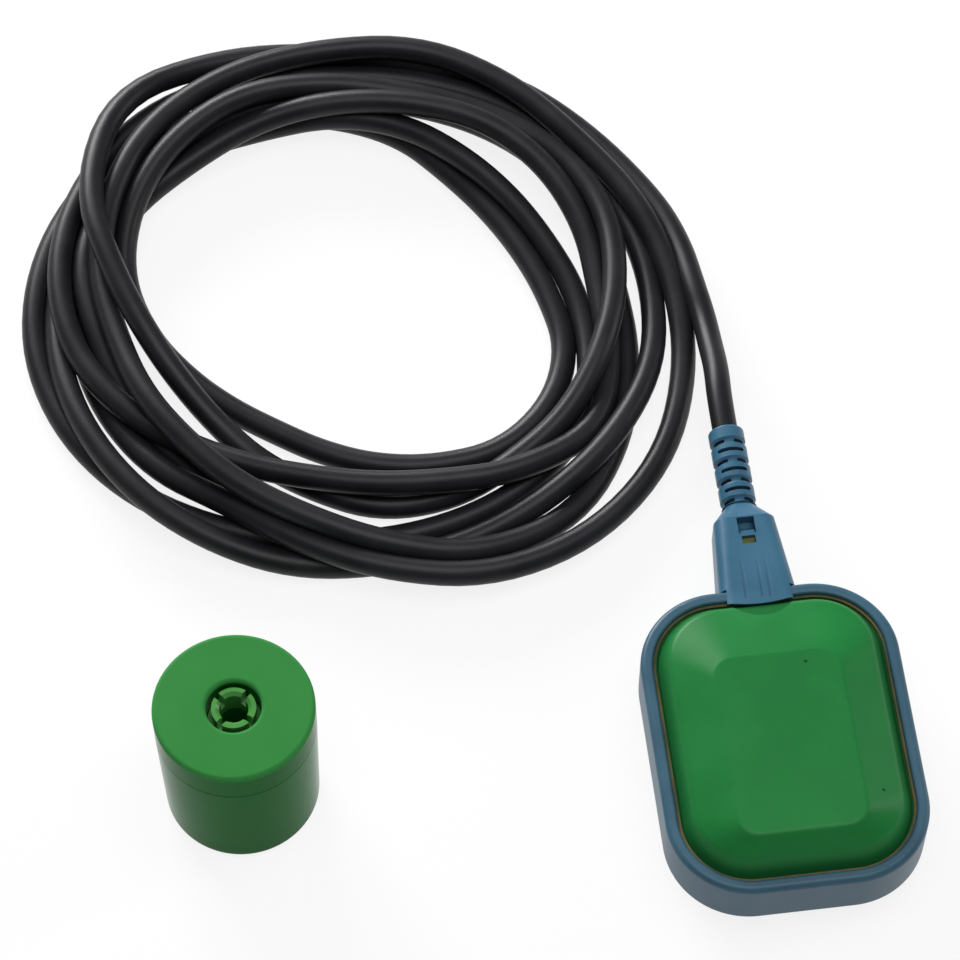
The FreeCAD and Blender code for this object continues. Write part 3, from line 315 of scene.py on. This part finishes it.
def paint_shells_shade_and_specks(finish):
    """The shells: painted shade darkens them down in the gutter; two pin specks mark the faces."""
    x, y, z = finish.coordinates()
    # Painted shade: the green darkens down in the gutter and low in the thumb notches, where shadow
    # falls.
    out_of_gutter_shade = finish.steps(abs(z - MID_HEIGHT), GUTTER_SHADE_FLOOR, GUTTER_SHADE_MOUTH)
    shade = finish.mix(out_of_gutter_shade, GUTTER_PAINTED_SHADE, finish.shade)
    for across, along, radius in PIN_SPECKS:
        from_x, from_y = x - across * MM, y - along * MM
        core, edge = (SPECK_CORE * radius * MM) ** 2, (radius * MM) ** 2
        outside = finish.steps(from_x * from_x + from_y * from_y, core, edge)
        shade = finish.mix(outside, SPECK_GREEN, shade)
    finish.set(Base_Color=shade)


def paint_weight_shade_and_gloss(finish):
    """The counterweight: its top is matt, and painted shade makes its polished side deeper."""
    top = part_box("counterweight_cap")[1][2]
    height = finish.coordinates()[2]
    matt = finish.steps(height, top - SIDE_DEPTH, top - TOP_DEPTH)
    roughness = SIDE_ROUGHNESS + (TOP_ROUGHNESS - SIDE_ROUGHNESS) * matt
    # Painted shade: below the top the colour goes to the deeper side green; the same mask sets the
    # roughness.
    finish.set(Base_Color=finish.mix(matt, SIDE_PAINTED_SHADE, finish.shade), Roughness=roughness)


def dress_nodes():
    """Makes one finish for each material slot of the record and gives every solid its own."""
    finishes = {name: moulded(name, *look) for name, look in MOULDED.items()}
    finishes.update({name: plain(name, *look) for name, look in PLAIN.items()})
    paint_shells_shade_and_specks(finishes["float_green"])
    paint_weight_shade_and_gloss(finishes["weight_green"])
    for part in frame["record"]["subparts"]:
        dress(nodes[part["node"]], finishes[part["material_slot"]])
    return finishes


# The thumb notches. Each shell's end is open above the neck. A floor that slopes down to the neck
# fills the opening, apart from a slit that stays under the shell's roof. Sizes in mm.

NOTCH_CENTRE = 50.3
NOTCH_RADIUS = 12.3
NOTCH_END = 45.0
NOTCH_FOOT = 28.6
NOTCH_ROOF = 36.0
NOTCH_SIDES = 96
EDGE_ROUND = 0.25
# Where the floor starts, along the float and in height, and how much it falls for each mm towards
# the neck.
FLOOR_START = (38.8, 32.4)
FLOOR_FALL = 0.15


def cut(place, normal):
    """Cuts the whole mesh with a plane, closes it and keeps what the normal points away from."""
    bpy.ops.mesh.select_all(action="SELECT")
    bpy.ops.mesh.bisect(plane_co=place, plane_no=normal, use_fill=True, clear_outer=True)


def notch_floor(name, side):
    """One floor: side is 1 for the upper shell and -1 for the lower one."""
    bpy.ops.object.select_all(action="DESELECT")
    depth = (NOTCH_ROOF - NOTCH_FOOT) * MM
    centre = (0, NOTCH_CENTRE * MM, NOTCH_FOOT * MM + depth / 2)
    bpy.ops.mesh.primitive_cylinder_add(
        vertices=NOTCH_SIDES, radius=NOTCH_RADIUS * MM, depth=depth, location=centre
    )
    floor = bpy.context.object
    floor.name = name
    bpy.ops.object.transform_apply(location=True, rotation=True, scale=True)
    bpy.ops.object.mode_set(mode="EDIT")
    cut((0, NOTCH_END * MM, 0), (0, 1, 0))
    cut((0, FLOOR_START[0] * MM, FLOOR_START[1] * MM), (0, FLOOR_FALL, 1))
    if side < 0:
        bpy.ops.mesh.select_all(action="SELECT")
        bpy.ops.transform.mirror(
            constraint_axis=(False, False, True), center_override=(0, 0, MID_HEIGHT)
        )
    bpy.ops.mesh.select_all(action="SELECT")
    bpy.ops.mesh.normals_make_consistent(inside=False)
    bpy.ops.object.mode_set(mode="OBJECT")
    edge = floor.modifiers.new("edge", "BEVEL")
    edge.width = EDGE_ROUND * MM
    edge.segments = 2
    bpy.ops.object.modifier_apply(modifier="edge")
    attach(floor, "switch")
    return floor


# The cable. It leaves the strain relief straight, comes down to the floor and runs into a loose
# coil. The diameter and the places of its axis (x, y and height) are in mm, the length in metres.

CABLE_DIAMETER = 8.4
CABLE_EXIT = (0, 115.15, 21)
LEAD_ROUTE = (
    (0, 128.2, 21), (1.1, 141.2, 18.7), (1.1, 153.8, 14.4), (0.9, 166, 12), (-0.5, 177.8, 11.8),
)
# The coil from the lead to the far end, which lies under the turns: about twenty places a turn,
# anticlockwise from above. The turns were settled on each other and on the floor outside this
# script; their places are pasted here, and no loop works them out.
COIL = (
    (-2.4, 199, 8.6), (-9, 220, 6.5), (-27, 250.5, 4.2), (-50, 274, 4.2), (-81.5, 287.5, 4.2),
    (-115, 293, 7.5), (-150.5, 291, 13), (-188, 275.5, 19.5), (-201.5, 233, 25), (-193.5, 198, 25),
    (-184.5, 176, 20.5), (-175.5, 160.5, 14.5), (-165.5, 147, 9), (-153.5, 133, 5.5),
    (-136.5, 120.5, 4.2), (-115, 109.5, 4.2), (-90, 111, 4.2), (-68.5, 121, 7),
    (-49.5, 133.5, 11.5), (-35.5, 153.5, 16), (-26.5, 179.5, 16), (-25, 210, 14),
    (-37, 237.5, 12.5), (-60.5, 257, 13), (-87, 267, 15.5), (-115.5, 272.5, 19), (-146.5, 270, 21),
    (-172, 253.5, 19), (-187, 231.5, 14.5), (-192, 207, 9.5), (-185, 184, 6), (-172.5, 166.5, 4.2),
    (-159.5, 153.5, 4.2), (-146, 143.5, 4.2), (-132, 134, 4.2), (-115, 126.5, 4.2),
    (-95, 123.5, 4.2), (-72, 126.5, 4.2), (-53.5, 142, 4.2), (-45, 164, 4.2), (-49, 187, 4.2),
    (-55.5, 205.5, 4.2), (-64.5, 223, 4.2), (-76, 239.5, 4.2), (-91, 257.5, 4.2),
    (-113.5, 268.5, 4.2), (-140.5, 272.5, 4.2), (-175, 271, 4.2), (-201.5, 249.5, 4.2),
    (-219, 220, 4.2), (-224.5, 186.5, 4.2), (-216, 153, 4.2), (-196.5, 126.5, 4.2),
    (-170.5, 109.5, 4.2), (-142.5, 100.5, 4.2), (-115, 97.5, 4.2), (-87, 102, 4.2),
    (-62.5, 114, 4.2), (-43.5, 134.5, 4.2), (-37.5, 160.5, 4.2), (-39.5, 186, 4.2),
    (-47.5, 207, 6), (-57.5, 225, 8.5), (-71.5, 241, 11.5), (-90, 256, 12.5), (-114, 264, 11.5),
    (-140, 264, 7), (-166.5, 260, 4.2), (-193.5, 244.5, 4.2), (-211.5, 217, 5), (-216.5, 184, 7.5),
    (-210.5, 152, 10.5), (-195, 123, 12), (-172.5, 103, 9.5), (-145.5, 91, 5.5), (-115, 89, 4.2),
    (-85.5, 93.5, 5.5), (-58.5, 104.5, 10), (-35, 123, 12.5), (-17.5, 151, 10.5), (-13.5, 185, 7),
    (-19, 217, 4.2), (-33, 245.5, 4.2), (-56.5, 268, 4.2), (-85, 280, 5), (-114, 284, 6.5),
    (-147.5, 284.5, 8.5), (-180, 271, 11), (-202.5, 244, 12.5), (-213.5, 213, 13.5),
    (-211.5, 180, 13.5), (-196.5, 153.5, 13), (-175, 137, 12), (-155, 126.5, 12),
    (-135, 119.5, 12.5), (-115.5, 114.5, 13), (-93.5, 112.5, 13.5), (-68.5, 113.5, 13),
    (-39.5, 127.5, 10), (-31.5, 157, 8), (-32, 183, 9), (-33.5, 208, 11.5), (-44, 232.5, 15.5),
    (-63, 251, 19), (-89, 260.5, 20.5), (-116.5, 264, 19.5), (-142, 261.5, 15), (-165, 251.5, 10),
    (-186.5, 238, 6), (-203, 215.5, 4.2), (-208.5, 185.5, 4.2), (-201.5, 157, 5),
    (-186.5, 131.5, 8), (-164, 114.5, 11), (-143, 96.5, 13), (-116, 83, 12.5), (-82, 77, 10.5),
    (-46.5, 89, 8), (-19.5, 115, 7.5), (-7, 149, 8), (-6, 182.5, 10), (-14, 214.5, 11.5),
    (-31, 242.5, 12), (-51, 269, 12), (-80.5, 288, 13.5), (-116, 289.5, 15), (-149.5, 281.5, 17.5),
    (-178, 262, 19), (-194, 234, 18.5), (-199.5, 205, 17), (-195, 178, 17.5), (-188, 154, 19.5),
    (-175.5, 133.5, 20.5), (-160.5, 117, 19), (-141, 103.5, 17.5), (-116, 91.5, 14.5),
    (-84.5, 85, 10.5), (-51, 98, 6), (-31.5, 127.5, 4.2), (-25, 159.5, 4.2), (-26, 187, 4.2),
    (-29.5, 213.5, 4.2), (-41.5, 239.5, 4.2), (-62, 258.5, 5), (-88, 269, 7.5), (-116, 273, 11),
    (-144.5, 269.5, 12.5), (-170, 258.5, 12), (-194.5, 240, 11), (-206, 211, 12),
    (-201.5, 182, 10), (-193, 159.5, 6), (-181, 137.5, 4.2), (-163.5, 119.5, 4.2),
    (-141, 107, 4.2),
)


def float_cable():
    """The whole cable as one curve, in the place of the lead and the plain coil."""
    route = [CABLE_EXIT, *LEAD_ROUTE, *COIL]
    line = bpy.data.curves.new("cable", "CURVE")
    line.dimensions = "3D"
    line.resolution_u = 6
    line.bevel_depth = 1  # times each point's radius
    line.bevel_resolution = 7
    line.use_fill_caps = True
    spline = line.splines.new("NURBS")
    spline.points.add(len(route) - 1)
    for point, place in zip(spline.points, route):
        point.co = (*(part * MM for part in place), 1)
        point.radius = CABLE_DIAMETER / 2 * MM
    spline.order_u = 3
    spline.use_endpoint_u = True
    cable = bpy.data.objects.new("cable", line)
    bpy.context.scene.collection.objects.link(cable)
    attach(cable, "switch")
    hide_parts("cable_lead", "cable_coil")
    return cable


bpy.context.scene.view_settings.view_transform = "Standard"
place_camera()
stage()
for name, lamp in LAMPS.items():
    place_lamp(name, *lamp)
finishes = dress_nodes()
# The floors take the shells' finish, whose painted gutter shade darkens them towards the neck.
for name, side in (("notch_floor_upper", 1), ("notch_floor_lower", -1)):
    dress(notch_floor(name, side), finishes["float_green"])
cable = float_cable()
dress(cable, finishes["cable_rubber"])
